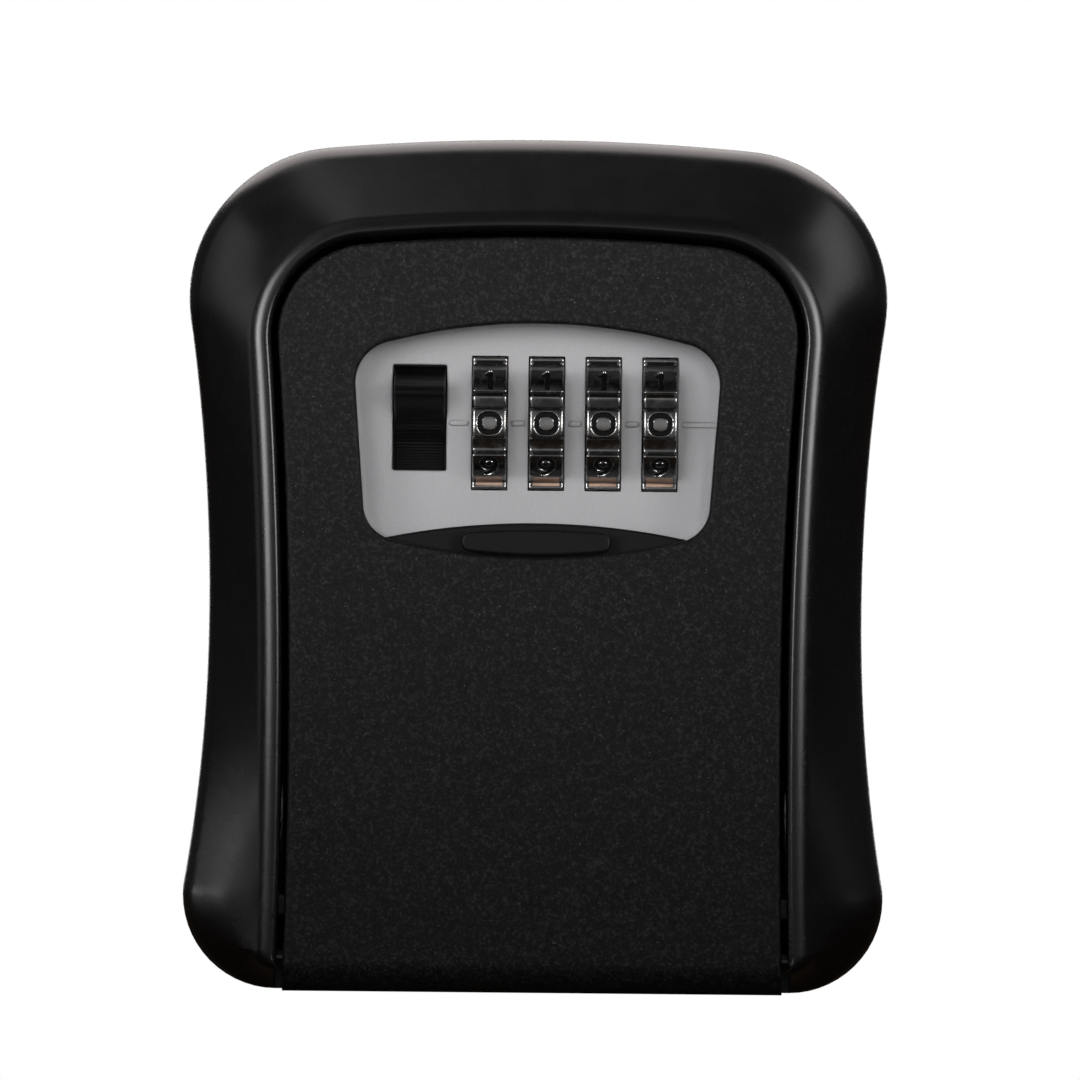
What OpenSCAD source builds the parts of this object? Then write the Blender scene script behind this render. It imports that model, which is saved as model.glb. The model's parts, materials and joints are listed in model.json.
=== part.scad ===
// Wall-mounted key lock box with four number dials.
// X runs left to right, Y into the wall, Z up. The wall plane is y = 0 and the front faces -Y.
// The origin is the centre of the screw pattern on the wall plane.
// Parts are drawn with z = 0 at the base, and depths are given as f, the distance out from
// the wall, so a point is [x, -f, z]. place() then moves the origin up to the screw pattern.

/* [Housing] */
// Overall height of the housing
body_h = 115; // [112:0.5:118]
// Half width of the housing at its waist
waist_half = 44.15; // [43.8:0.05:45]
// Height of the waist above the base
waist_z = 51.2; // [48:0.1:54]
// Radius of the side below the waist
side_r_low = 226; // [210:1:260]
// Radius of the side above the waist
side_r_high = 268; // [250:1:300]
// Radius of the lower corners
corner_r_low = 12.6; // [11:0.1:13]
// Radius of the upper corners
corner_r_high = 20.5; // [19:0.1:22]
// Radius of the arched top
arch_r = 316; // [290:1:340]
// Depth from the wall to the crest of the bezel
depth = 40; // [39.5:0.1:41]
// Depth at which the side wall starts to round into the bezel
side_wall = 29.1; // [27:0.1:30]
// Radius of the soft outer shoulder of the bezel
shoulder_r = 7; // [6:0.1:8]
// Radius of the bezel's crest
crest_r = 2.2; // [1.8:0.1:2.4]
// Thickness of the back wall
back_t = 3; // [2.5:0.1:3.5]
// Thickness of the outer skin behind the bezel
skin_t = 2.6; // [2.2:0.1:3]
// Depth of the relief behind the bezel
relief = 25; // [20:1:26]

/* [Door] */
// Height of the door
door_h = 101.6; // [101:0.1:102]
// Half width of the door at its waist
door_half = 33.05; // [32.8:0.05:33.3]
// Gap between the door and its opening
door_gap = 1.15; // [1:0.05:1.3]
// Depth from the wall to the face of the door
door_face = 38.6; // [38.4:0.1:38.8]
// Thickness of the door's front plate
door_t = 2.2; // [2:0.1:2.3]
// Radius of the rolled lower edge, which is also the hinge barrel
barrel_r = 4.5; // [4.3:0.1:4.6]

/* [Dials] */
// Radius of a number wheel
wheel_r = 10; // [9.8:0.05:10.1]
// Width of a number wheel
wheel_w = 4.6; // [4.4:0.05:4.6]
// Distance between wheels
pitch = 7.67; // [7.67:0.01:7.8]
// Position of the first wheel
wheel_x0 = -6.43; // [-6.6:0.01:-6.4]
// Height of the wheels' axis above the base
axis_z = 76.6; // [76.4:0.1:76.8]
// Depth of the wheels' axis
axis_f = 24.3; // [24.2:0.05:24.4]
// Numbers on a wheel
digits = 10; // [10]
// Depth of the finger grooves between the numbers
groove = 0.8; // [0.6:0.05:0.9]

/* [Lock] */
// Travel of the open button
slider_travel = 4; // [3.8:0.1:4]
// Sideways travel of the code-change lever
reset_travel = 1.7; // [1.6:0.05:1.7]
// Radius of a code cam
cam_r = 3.5; // [3.3:0.05:3.5]
// Radius of the dial spindle and the hinge pins
shaft_r = 1.5; // [1.4:0.05:1.5]

/* [Mounting] */
// Distance between the wall screws across
screw_dx = 44; // [40:1:46]
// Distance between the wall screws up and down
screw_dz = 66; // [60:1:68]
// Radius of a wall screw hole
screw_r = 2.5; // [2.2:0.1:2.6]

/* [Hidden] */

spring_steel = [0.7, 0.7, 0.72];
plate_steel = [0.66, 0.66, 0.68];
screw_steel = [0.6, 0.6, 0.62];

SIDES = [-1, 1];
far = 60;                            // beyond the housing's half width
clear = 0.06;                        // running clearance of round parts
sink = 0.5;                          // how far bosses and rails run into the door's plate

// Axes, as [f, z]
hinge_f = door_face - barrel_r;
hinge_z = barrel_r;
hinge = [hinge_f, hinge_z];
spindle = [axis_f, axis_z];

// Depths, and spans of depth
plate_back = door_face - door_t;     // inner face of the door's plate
panel_f = axis_f + 4.5;              // face of the dial panel
case_front = panel_f - 1.6;          // back of the dial panel
case_back = 12;
liner_f = [33, 34.2];
fence_t = 1.3;
fence_f = axis_f - 3.35;             // back of the fence, which passes behind the cams
bolt_t = 1.6;
bolt_f = fence_f + fence_t + 0.35;   // back of the latch bolt

// Lock case
case_half = 31.5;
case_bot = 57.5;
case_top = 96.5;
case_wall = 1.5;
case_floor = case_bot + case_wall;
bearing_left = [-10.9, -9.2];
bearing_right = [24.6, 26.2];
seat_top = 80;                       // top of the bearings and latch spring seats

// Screw places, each [half spacing across, heights]
wall_screws = [screw_dx / 2, [for (s = SIDES) (body_h + s * screw_dz) / 2]];
case_posts = [29.3, [61.2, 88.5]];
liner_posts = [28.9, [19, 53]];

// Stop heels of the door
heel_x = 28.5;
heel_half = 2.5;

// Open button, slide and code-change lever
slider_x = -15.9;
button_top = 84.2;
rivet_x = -16.2;
rivet_z = [75.5, 83];
rivet_r = 0.8;
stud_r = 1.4;                        // button studs that take the rivets
slot_z = [rivet_z[0] - stud_r - slider_travel, rivet_z[1] + stud_r];
slide_bot = 73;
tongue_half = 8;
lever_x = [26.35, 28.05];
lever_half_z = 1.7;

// ---------- solids ----------
// x, f and z are [from, to] spans unless noted. Cutters run past the faces they open.

function span(middle, half) = [middle - half, middle + half];
function shift(start, ends) = [start + ends[0], start + ends[1]];

// A flat shape drawn in x and z, standing through the depths f.
module slab(f) translate([0, -f[0], 0]) rotate([90, 0, 0]) linear_extrude(f[1] - f[0]) children();
// A flat shape drawn in f and z, running along x.
module bar(x)
    translate([x[1], 0, 0]) rotate([0, 0, -90]) rotate([90, 0, 0])
        linear_extrude(x[1] - x[0]) children();
// A round rod along X on an axis [f, z].
module rod(x, axis, r, n = 64)
    translate([x[0], -axis[0], axis[1]]) rotate([0, 90, 0])
        cylinder(h = x[1] - x[0], r = r, $fn = n);
// A round post along the depth, at the point x, z.
module post(f, r, x = 0, z = 0, n = 48)
    translate([x, -f[0], z]) rotate([90, 0, 0]) cylinder(h = f[1] - f[0], r = r, $fn = n);
module block(x, f, z)
    translate([x[0], -f[1], z[0]]) cube([x[1] - x[0], f[1] - f[0], z[1] - z[0]]);

module place() translate([0, 0, -body_h / 2]) children();
// Repeats its children at screw places, left and right.
module at(places)
    for (side = SIDES, z = places[1]) translate([side * places[0], 0, z]) children();

// A loft through rings of [points, depth].
module loft(rings) {
    count = len(rings[0][0]);
    last = len(rings) - 1;
    points = [for (ring = rings) for (p = ring[0]) [p[0], -ring[1], p[1]]];
    polyhedron(points = points, convexity = 6, faces = concat(
        [[for (i = [0:count - 1]) i]],
        [for (k = [0:last - 1]) for (i = [0:count - 1])
            let (j = (i + 1) % count, near = k * count, next = near + count)
            [next + i, next + j, near + j, near + i]],
        [[for (i = [count - 1:-1:0]) last * count + i]]));
}

// A compression spring: a round wire wound about the Z axis from z = 0 to height.
module coil(height, r, wire_r, turns) {
    per_turn = 14;
    sides = 6;
    steps = turns * per_turn;
    points = [for (i = [0:steps])
        let (a = 360 * i / per_turn, z = wire_r + (height - 2 * wire_r) * i / steps)
        for (k = [0:sides - 1])
            let (b = 360 * k / sides, reach = r + wire_r * cos(b))
            [reach * cos(a), reach * sin(a), z + wire_r * sin(b)]];
    polyhedron(points = points, convexity = 8, faces = concat(
        [[for (k = [0:sides - 1]) k]],
        [for (i = [0:steps - 1]) for (k = [0:sides - 1])
            let (j = (k + 1) % sides, near = i * sides, next = near + sides)
            [next + k, next + j, near + j, near + k]],
        [[for (k = [sides - 1:-1:0]) steps * sides + k]]));
}

// A pan-head screw along the depth with a cross recess. Its head runs from head_f to seat_f.
module screw(head_f, seat_f, tip_f, head_r, shank_r) {
    recess = [head_f - 1, head_f + (seat_f - head_f) * 0.6];
    arm = span(0, head_r * 0.6);
    slit = span(0, 0.25);
    difference() {
        union() {
            post([head_f, seat_f], head_r);
            post([seat_f, tip_f], shank_r);
        }
        block(arm, recess, slit);
        block(slit, recess, arm);
    }
}

// ---------- outlines ----------

// Points first to steps of an elliptical arc.
function arc(centre, rx, rz, from, to, steps, first = 1) =
    [for (i = [first:steps]) let (a = from + (to - from) * i / steps)
        [centre[0] + rx * cos(a), centre[1] + rz * sin(a)]];

// The direction from one point to another.
function heading(from, to) = atan2(to[1] - from[1], to[0] - from[0]);

// The upper point where two circles cross.
function meet(c0, r0, c1, r1) =
    let (gap = norm(c1 - c0), along = (c1 - c0) / gap,
         reach = (r0 * r0 - r1 * r1 + gap * gap) / (2 * gap),
         side = sqrt(r0 * r0 - reach * reach) * [-along[1], along[0]],
         foot = c0 + reach * along, p = foot + side, q = foot - side)
    p[1] > q[1] ? p : q;

// Completes a right half. Its last point is on the middle line; the first is too, or the
// base is flat.
function mirror_x(half) =
    concat(half, [for (i = [len(half) - 2:-1:(abs(half[0][0]) < 0.001 ? 1 : 0)])
        [-half[i][0], half[i][1]]]);

// A waisted outline with an arched top, in tangent arcs. low and high are the side radii
// below and above the waist, base_r and top_r the corner radii, crown the arch radius.
// inset moves the sides and top inward, base_inset moves the base up.
function waisted(height, half, mid_z, low, base_r, base_z, high, top_r, crown,
                 inset, base_inset) =
    let (c_low = [half + low, mid_z],
         c_high = [half + high, mid_z],
         c_crown = [0, height - crown],
         c_base = [half + low - sqrt(pow(low + base_r, 2) - pow(mid_z - base_z - base_r, 2)),
                   base_z + base_r],
         c_top = meet(c_crown, crown - top_r, c_high, high + top_r),
         a_low = heading(c_base, c_low),
         a_high = heading(c_high, c_top),
         a_crown = heading(c_crown, c_top),
         r_base = base_r - inset,
         r_low = low + inset,
         r_high = high + inset,
         r_top = top_r - inset,
         r_crown = crown - inset)
    mirror_x(concat(
        arc(c_base, r_base, base_r - base_inset, -90, 0, 6, first = 0),
        arc(c_base, r_base, r_base, 0, a_low, 1),
        arc(c_low, r_low, r_low, 180 + a_low, 180, 5),
        arc(c_high, r_high, r_high, 180, a_high, 5),
        arc(c_top, r_top, r_top, a_high - 180, a_crown, 9),
        arc(c_crown, r_crown, r_crown, a_crown, 90, 6)));

function outer(inset, base_inset) =
    waisted(height = body_h, half = waist_half, mid_z = waist_z, low = side_r_low,
            base_r = corner_r_low, base_z = 0, high = side_r_high, top_r = corner_r_high,
            crown = arch_r, inset = inset, base_inset = base_inset);

// The door's outline, grown at the sides and top.
function door_line(grow, base_z = -2, base_r = 0.4) =
    waisted(height = door_h, half = door_half, mid_z = 38, low = 1360, base_r = base_r,
            base_z = base_z, high = 650, top_r = 12.5, crown = 250,
            inset = -grow, base_inset = 0);

// The dial window: an arched top, sides that lean in downward and a bowed base.
win_top = 90;
win_bot = 58.6;
win_top_r = 78;
win_base_r = 84;
win_corner_high = 5.6;
win_corner_low = 5;
win_half = 24.5;                     // half width at win_half_z
win_half_z = 82;
win_slope = 0.075;

// Centre of a corner of radius r that touches a circle from inside and the leaning side.
// end is 1 for the upper corner and -1 for the lower.
function lean_corner(centre, circle_r, r, end) =
    let (n = 1 + win_slope * win_slope,
         x0 = win_half - win_half_z * win_slope - r * sqrt(n),
         b = 2 * (win_slope * x0 - centre[1]),
         c = x0 * x0 + centre[1] * centre[1] - pow(circle_r - r, 2),
         z = (-b + end * sqrt(b * b - 4 * n * c)) / (2 * n))
    [x0 + win_slope * z, z];

function window(grow) =
    let (c_top = [0, win_top - win_top_r],
         c_base = [0, win_bot + win_base_r],
         c_high = lean_corner(c_top, win_top_r, win_corner_high, 1),
         c_low = lean_corner(c_base, win_base_r, win_corner_low, -1),
         lean = -atan(win_slope),
         a_high = heading(c_top, c_high),
         a_low = heading(c_base, c_low),
         r_base = win_base_r + grow,
         r_low = win_corner_low + grow,
         r_high = win_corner_high + grow,
         r_top = win_top_r + grow)
    mirror_x(concat(
        arc(c_base, r_base, r_base, -90, a_low, 6, first = 0),
        arc(c_low, r_low, r_low, a_low, lean, 8),
        arc(c_high, r_high, r_high, lean, a_high, 8, first = 0),
        arc(c_top, r_top, r_top, a_high, 90, 8)));

// ---------- housing ----------

bend = 38;                           // angle at which the shoulder leads to the crest

// Loft rings at an angle round the shoulder and round the crest.
function shoulder_ring(a) =
    [outer(shoulder_r * (1 - cos(a)), 1.1 * a / bend), side_wall + shoulder_r * sin(a)];
function crest_ring(a) =
    [door_line(door_gap + 2.05 + crest_r * cos(a), 2.2, 3.4 - 2 * (a - bend) / 112),
     depth - crest_r + crest_r * sin(a)];

module housing_blank() {
    slab([0, side_wall]) polygon(outer(0, 0));
    loft(concat([for (a = [0, 13, 26, bend]) shoulder_ring(a)],
                [for (a = [bend, 64, 90, 118, 146, 170]) crest_ring(a)]));
}

// The hollow behind the bezel, with ribs left standing.
module bezel_relief() {
    rib = 1;                         // half thickness
    difference() {
        slab([-1, relief]) difference() {
            polygon(outer(skin_t, skin_t));
            polygon(door_line(door_gap + 2.2));
            translate([-far, -1]) square([2 * far, 12.5]);
        }
        for (z = [34, 58, 82]) block([-far, far], [-2, 60], span(z, rib));
        for (x = [-18, 18]) block(span(x, rib), [-2, 60], [100, 120]);
    }
}

module housing() place() color([0.03, 0.03, 0.033]) {
    sink_f = 1.4;                    // depth at which the countersink starts
    sink_r = screw_r + 1.8;
    difference() {
        union() {
            difference() {
                housing_blank();
                // key space and the opening for the door
                slab([back_t, depth + 1]) polygon(door_line(door_gap));
                bezel_relief();
            }
            // floor
            block([-34.7, 34.7], [1.5, hinge_f - barrel_r - 0.3], [0, 2.5]);
            // keeper lip for the latch
            block([-14, 14], shift(bolt_f, [2, 5.6]), [98.8, 103.4]);
            // door stops
            for (s = SIDES)
                block(span(s * 31.25, 4.25), [hinge_f - 3, hinge_f], shift(hinge_z, [5.5, 8.5]));
        }
        // wall screw holes, countersunk inside
        at(wall_screws) {
            post([-1, back_t + 1], screw_r);
            translate([0, -sink_f, 0]) rotate([90, 0, 0])
                cylinder(h = back_t - sink_f, r1 = screw_r, r2 = sink_r, $fn = 48);
            post([back_t, back_t + 1], sink_r);
        }
        // hinge pin seats
        rod([-38, 38], hinge, shaft_r);
        // room for the door's stop heels in the floor
        for (s = SIDES)
            block(span(s * heel_x, heel_half + 0.7), [hinge_f - 9.7, hinge_f], [-1, 3]);
    }
}

module hinge_pins() place() color([0.72, 0.72, 0.74])
    for (x = [[-37.8, -27.5], [27.5, 37.8]]) rod(x, hinge, shaft_r, 48);

// ---------- door ----------

// The door's outline above z = bottom.
module door_shape(grow, bottom) intersection() {
    polygon(door_line(grow));
    translate([-far, bottom]) square([2 * far, 2 * far]);
}

module door_cover() place() color([0.12, 0.12, 0.125]) difference() {
    union() {
        // front plate, its rim and the rolled lower edge
        slab([plate_back, door_face]) door_shape(0, hinge_z);
        slab([hinge_f - 3.1, plate_back]) difference() {
            door_shape(0, 14.5);
            door_shape(-1.8, 0);
        }
        rod([-33.2, 33.2], hinge, barrel_r, 96);
        // screw bosses for the lock case and the liner
        at(case_posts) post([panel_f, plate_back + sink], 2.2);
        at(liner_posts) post([liner_f[1], plate_back + sink], 2.2);
        // shutter rails
        for (s = SIDES) block(span(s * 27.3, 0.45), [34.5, plate_back + sink], [24, 93]);
        // stop heels
        for (s = SIDES) block(span(s * heel_x, heel_half), [hinge_f - 8, hinge_f], [0.1, 1.4]);
    }
    slab([plate_back - 1, door_face + 1]) polygon(window(0));
    rod([-40, 40], hinge, shaft_r + clear);
    // the rolled edge is cored out between the hinge knuckles
    rod([-20, 20], hinge, barrel_r - 2.2);
    // screw holes
    at(case_posts) post([panel_f - 1, 34.6], 1.2);
    at(liner_posts) post([33, 37.2], 1);
}

module door_liner() place() color([0.07, 0.07, 0.07]) difference() {
    slab(liner_f) intersection() {
        door_shape(-2.2, 15);
        translate([-far, 0]) square([2 * far, 56.6]);
    }
    at(liner_posts) post([32, 35], 1.15);
    // finger relief, pressed into the plate
    for (z = [27, 34, 41]) slab([32.5, 33.4]) translate([-20, z]) square([40, 2]);
}

module liner_screws() place() color(screw_steel)
    at(liner_posts) screw(31.8, liner_f[0], 36.9, head_r = 1.9, shank_r = 1);

// A disc whose highest or lowest point is at z = edge, for bowed edges.
module bow(edge, r, up = true)
    translate([0, up ? edge - r : edge + r]) circle(r = r, $fn = 240);

module shutter() place() color([0.09, 0.09, 0.092]) {
    slab([34.7, 36.1]) intersection() {
        translate([-26.6, 30.3]) square([53.2, 40]);
        bow(63.2, 100);
    }
    // finger tab
    slab([36, 38.4]) intersection() {
        translate([-10.1, 58.9]) square([20.2, 3.5]);
        bow(62.4, 110);
        bow(58.8, 80, up = false);
    }
}

// ---------- dial panel and lock case ----------

function wheel_x(i) = wheel_x0 + i * pitch;

// The case outline grown by grow: a rectangle whose two upper corners are rounded.
module case_shape(grow) {
    half = case_half + grow;
    bottom = case_bot - grow;
    height = case_top + grow - bottom;
    r = 6 + grow;
    union() {
        translate([-half, bottom]) square([2 * half, height - r]);
        translate([-half + r, bottom]) square([2 * (half - r), height]);
        for (s = SIDES) translate([s * (half - r), bottom + height - r]) circle(r = r, $fn = 48);
    }
}

module dial_panel() place() color([0.62, 0.62, 0.64]) difference() {
    union() {
        slab([case_front, panel_f]) case_shape(-0.2);
        // collar round the window
        slab([panel_f - 0.5, 34.4]) difference() {
            polygon(window(1.7));
            polygon(window(0.4));
        }
        // index ribs
        for (x = [[-12.0, -9.6], [-3.4, -1.8], [4.3, 5.8], [12, 13.5], [19.4, 24.4]])
            block(x, shift(panel_f, [-0.5, 0.45]), span(axis_z, 0.5));
    }
    for (i = [0:3]) rod(span(wheel_x(i), wheel_w / 2 + 0.25), spindle, wheel_r + 0.2, 96);
    // clearance behind the panel for the code cams
    rod([wheel_x0 + 1, wheel_x(3) + 5.6], spindle, cam_r + 0.25);
    // slot for the open button's studs
    slab([case_front - 1, panel_f + 1])
        translate([slider_x - 3.65, slot_z[0]]) square([7.3, slot_z[1] - slot_z[0]]);
    at(case_posts) post([case_front - 1, panel_f + 1], 1.35);
}

// The case's solid set in by wall, with its upper back edge chamfered.
module case_block(wall, chamfer, front) {
    back = case_back + wall;
    top = case_top - wall;
    intersection() {
        slab([back, front]) case_shape(-wall);
        bar([-40, 40]) polygon([[back, 50], [back, case_top - chamfer],
                                [case_back + chamfer, top], [40, top], [40, 50]]);
    }
}

module lock_case() place() color([0.05, 0.05, 0.05]) difference() {
    union() {
        difference() {
            case_block(0, 5, case_front);
            case_block(case_wall, 5.6, case_front + 1);
        }
        intersection() {
            union() {
                at(case_posts) post([case_back, case_front], 2.3);
                // spindle bearings
                for (x = [bearing_left, bearing_right])
                    block(x, [case_back, case_front - 0.3], [case_bot, seat_top]);
                // seats of the two latch springs
                for (s = SIDES)
                    block(span(s * 24.3, 1.9), [case_back, 25], [seat_top - 1, seat_top]);
            }
            slab([case_back, case_front]) case_shape(0);
        }
    }
    at(case_posts) post([case_back - 1, case_front + 1], 1.35);
    for (x = [[-12, -8], [24, 27]]) rod(x, spindle, shaft_r + clear);
    // slot for the latch, slot for the code-change lever
    block(span(0, tongue_half + 0.3), shift(bolt_f, [-0.25, bolt_t + 0.25]), [94, 98]);
    block([lever_x[0] - 0.25, lever_x[1] + reset_travel + 0.2], [case_back - 1, case_back + 2],
          span(axis_z, lever_half_z + 0.6));
}

module case_screws() place() color(screw_steel)
    at(case_posts) screw(10.6, case_back, 34.2, head_r = 2.1, shank_r = 1.2);

// ---------- dials ----------

// One number field and the finger groove after it: [angle, share of the groove depth].
wheel_field = [[-10.8, 0], [-5.4, 0], [0, 0], [5.4, 0], [10.8, 0],
               [12.4, 0.8], [15, 1], [18, 1.05], [21, 1], [23.6, 0.8]];

// Repeats [angle, radius] points for each number round the spindle, as [f, z] points.
// start is the first repeat's place, in numbers past the front. Number 0 faces the front.
function around(points, start) =
    [for (i = [0:digits - 1]) for (p = points) let (a = 360 * (i + start) / digits + p[0])
        [axis_f + p[1] * cos(a), axis_z + p[1] * sin(a)]];

// Splines from radius root to tip, half an angle wide each way, midway between numbers.
function spline(root, tip, half) =
    around([[-half - 0.01, root], [-half, tip], [half, tip], [half + 0.01, root], [18, root]],
           0.5);

module wheel(i) place() color([0.75, 0.75, 0.77]) {
    x = wheel_x(i);
    left = x - wheel_w / 2;
    right = x + wheel_w / 2;
    difference() {
        bar([left, right])
            polygon(around([for (p = wheel_field) [p[0], wheel_r - groove * p[1]]], 0));
        rod(span(x, 3), spindle, shaft_r + clear);
        // spline pocket on the right, round recess on the left
        bar([x + 0.3, right + 1]) polygon(spline(2.75, cam_r + 0.12, 7.5));
        rod(shift(left, [-1, 0.9]), spindle, 3.3);
    }
}

module cam(i) place() color([0.78, 0.62, 0.3]) {
    x = wheel_x(i);
    difference() {
        union() {
            rod(shift(x, [0.75, 2]), spindle, 1.9);
            // splines that carry the cam round with its wheel
            bar(shift(x, [1.78, 2.4])) polygon(spline(2.6, cam_r - 0.06, 5.5));
            // locking collar
            rod(shift(x, [2.36, 3.53]), spindle, cam_r);
        }
        rod(shift(x, [0, 4]), spindle, shaft_r + clear);
        // gate: a flat that lets the fence pass at number 0
        block(shift(x, [2.43, 4]), shift(axis_f, [-5, -1.95]), span(axis_z, 5));
    }
}

module dial_wheel_1() wheel(0);
module dial_wheel_2() wheel(1);
module dial_wheel_3() wheel(2);
module dial_wheel_4() wheel(3);
module code_cam_1() cam(0);
module code_cam_2() cam(1);
module code_cam_3() cam(2);
module code_cam_4() cam(3);

module dial_spindle() place() color(spring_steel) rod([-11.8, lever_x[1]], spindle, shaft_r);

clip_at = [0.34, 3.58];              // left faces of a wheel's two clips, from its middle
clip_t = 0.37;

module spindle_clips() place() color([0.35, 0.35, 0.37]) for (i = [0:3], offset_x = clip_at) {
    x = wheel_x(i) + offset_x;
    difference() {
        rod([x, x + clip_t], spindle, 2.6, 48);
        rod(span(x, 1), spindle, shaft_r);
        block(span(x, 1), shift(axis_f, [-4, -0.5]), span(axis_z, 0.9));
    }
}

module reset_lever() place() color([0.75, 0.1, 0.08]) difference() {
    union() for (f = [[13, 26.6], [9.6, 14]]) block(lever_x, f, span(axis_z, lever_half_z));
    rod([26, 28.3], spindle, shaft_r);
    // three grip lines across the back end
    for (dz = [-1:1]) block([26.1, 26.65], [9, 11.4], span(axis_z + dz, 0.2));
}

spring_gap = 0.02;                   // between a spring's end and its seat

// Between the last clip and the right bearing.
module reset_spring() place() color(spring_steel) {
    start = wheel_x(3) + clip_at[1] + clip_t + spring_gap;
    translate([start, -axis_f, axis_z]) rotate([0, 90, 0])
        coil(bearing_right[0] - spring_gap - start, r = 2, wire_r = 0.2, turns = 3);
}

// ---------- open button, slide and latch ----------

module open_button() place() color([0.04, 0.04, 0.04]) {
    bar(shift(slider_x, [-4.7, 4]))
        polygon([[25.4, 69.2], [27, 69.2], [27, 89.4], [25.4, 89.4]]);
    // thumb ridge
    bar(span(slider_x, 3.45)) polygon(concat(
        [[26.5, button_top - 6.6]],
        arc([28.6, button_top - 3.3], 4.9, 3.37, -78, 78, 12, first = 0),
        [[26.5, button_top]]));
    // fine grip lines below the ridge
    for (k = [0:7]) block(span(slider_x, 3.4), [26.9, 27.15], span(70.9 + k * 0.8, 0.2));
    for (z = rivet_z) post([fence_f + fence_t, 25.6], stud_r, rivet_x, z, 32);
}

module lock_slide() place() color(plate_steel) difference() {
    union() {
        slab([fence_f, fence_f + fence_t]) union() {
            translate([-19.4, slide_bot]) square([6.5, 19]);
            translate([-26, 91.3]) square([52, 3.3]);
            // fence teeth beside the cams
            tooth_z = axis_z + 2.98;
            for (i = [0:3]) translate([wheel_x(i) + 2.47, tooth_z]) square([0.9, 91.6 - tooth_z]);
        }
        // lugs that draw the latch down
        for (s = SIDES) block(span(s * 23.4, 2.6), [fence_f + 1, bolt_f + bolt_t], [93.5, 94.6]);
    }
    for (z = rivet_z) post([fence_f - 1, fence_f + 3], rivet_r, rivet_x, z, 32);
}

module slide_rivets() place() color([0.55, 0.55, 0.57]) for (z = rivet_z) {
    post([fence_f, fence_f + fence_t], rivet_r, rivet_x, z, 32);
    post([fence_f - 0.6, fence_f], 1.5, rivet_x, z, 32);
}

module button_spring() place() color(spring_steel)
    translate([rivet_x, -fence_f - fence_t / 2, case_floor + spring_gap])
        coil(slide_bot - case_floor - 2 * spring_gap, r = 1.9, wire_r = 0.22, turns = 8);

module latch_bolt() place() color(plate_steel) {
    front = bolt_f + bolt_t;
    slab([bolt_f, front]) translate([-26, 87]) square([52, 2.4]);
    // tongue, bevelled at the back of its tip
    bar([-tongue_half, tongue_half])
        polygon([[bolt_f, 89], [front, 89], [front, 97.8], [bolt_f + 1, 97.8], [bolt_f, 96.6]]);
}

module latch_spring(side) place() color(spring_steel)
    translate([side * 24.2, -bolt_f - bolt_t / 2, seat_top + spring_gap])
        coil(6.94, r = 1.55, wire_r = 0.2, turns = 5);
module latch_spring_left() latch_spring(-1);
module latch_spring_right() latch_spring(1);

// Side profile of a detent leaf, as [f, z]
leaf = [[18.9, 59.2], [19.4, 59.05], [23.4, 65.6], [24.3, 66.1],
        [25.4, 65.6], [25.6, 65.95], [24.3, 66.5], [23, 66]];

module detent_spring() place() color(spring_steel) {
    block([-9, 22], [15, 19.4], [case_floor, case_floor + 0.5]);
    for (i = [0:3]) bar(span(wheel_x(i), 1.7)) polygon(leaf);
}

housing();
hinge_pins();
door_cover();
door_liner();
liner_screws();
dial_panel();
lock_case();
case_screws();
shutter();
dial_wheel_1();
dial_wheel_2();
dial_wheel_3();
dial_wheel_4();
code_cam_1();
code_cam_2();
code_cam_3();
code_cam_4();
dial_spindle();
spindle_clips();
reset_lever();
reset_spring();
open_button();
lock_slide();
slide_rivets();
button_spring();
latch_bolt();
latch_spring_left();
latch_spring_right();
detent_spring();
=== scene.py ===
import contextlib
import json
import math

import bmesh
import bpy
import numpy as np
from mathutils import Matrix, Vector


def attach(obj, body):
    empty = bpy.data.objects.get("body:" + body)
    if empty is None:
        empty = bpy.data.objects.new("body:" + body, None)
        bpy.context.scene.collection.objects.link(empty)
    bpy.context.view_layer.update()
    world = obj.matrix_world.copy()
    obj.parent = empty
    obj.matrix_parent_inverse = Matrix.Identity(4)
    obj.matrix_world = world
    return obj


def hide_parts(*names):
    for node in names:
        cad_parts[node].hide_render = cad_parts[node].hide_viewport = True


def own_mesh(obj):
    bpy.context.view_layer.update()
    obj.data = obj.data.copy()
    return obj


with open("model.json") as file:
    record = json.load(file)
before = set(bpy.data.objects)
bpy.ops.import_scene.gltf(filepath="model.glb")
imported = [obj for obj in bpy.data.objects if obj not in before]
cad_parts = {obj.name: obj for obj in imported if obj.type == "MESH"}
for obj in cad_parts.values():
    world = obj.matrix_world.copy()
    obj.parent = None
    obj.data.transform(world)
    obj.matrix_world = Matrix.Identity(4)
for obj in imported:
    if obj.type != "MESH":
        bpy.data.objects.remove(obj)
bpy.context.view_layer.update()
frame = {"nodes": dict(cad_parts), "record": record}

HEIGHT = 115.0
GAP = 0.85  # between the door and the housing around it

DOOR_FACE, PLATE_T = 38.6, 2.2
PLATE_BACK = DOOR_FACE - PLATE_T
BARREL = 4.5  # radius of the hinge barrel
HINGE = (0, DOOR_FACE - BARREL, BARREL)
HINGE_F = HINGE[1]
HEEL_X = 28.5  # centre of each stop heel at the door's foot

AXIS_F, AXIS_Z = 24.3, 76.6  # axis of the number wheels
AXIS = (0, AXIS_F, AXIS_Z)
WHEEL_X = [-6.43 + i * 7.67 for i in range(4)]
WHEEL_R = 10.0
PANEL_F = AXIS_F + 4.5
PANEL_SCREW_X, PANEL_SCREW_Z = 29.3, (61.2, 88.5)
SLIDER_X, PEG_X = -15.9, -16.2


def cos(angle):
    return math.cos(math.radians(angle))


def sin(angle):
    return math.sin(math.radians(angle))


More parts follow.
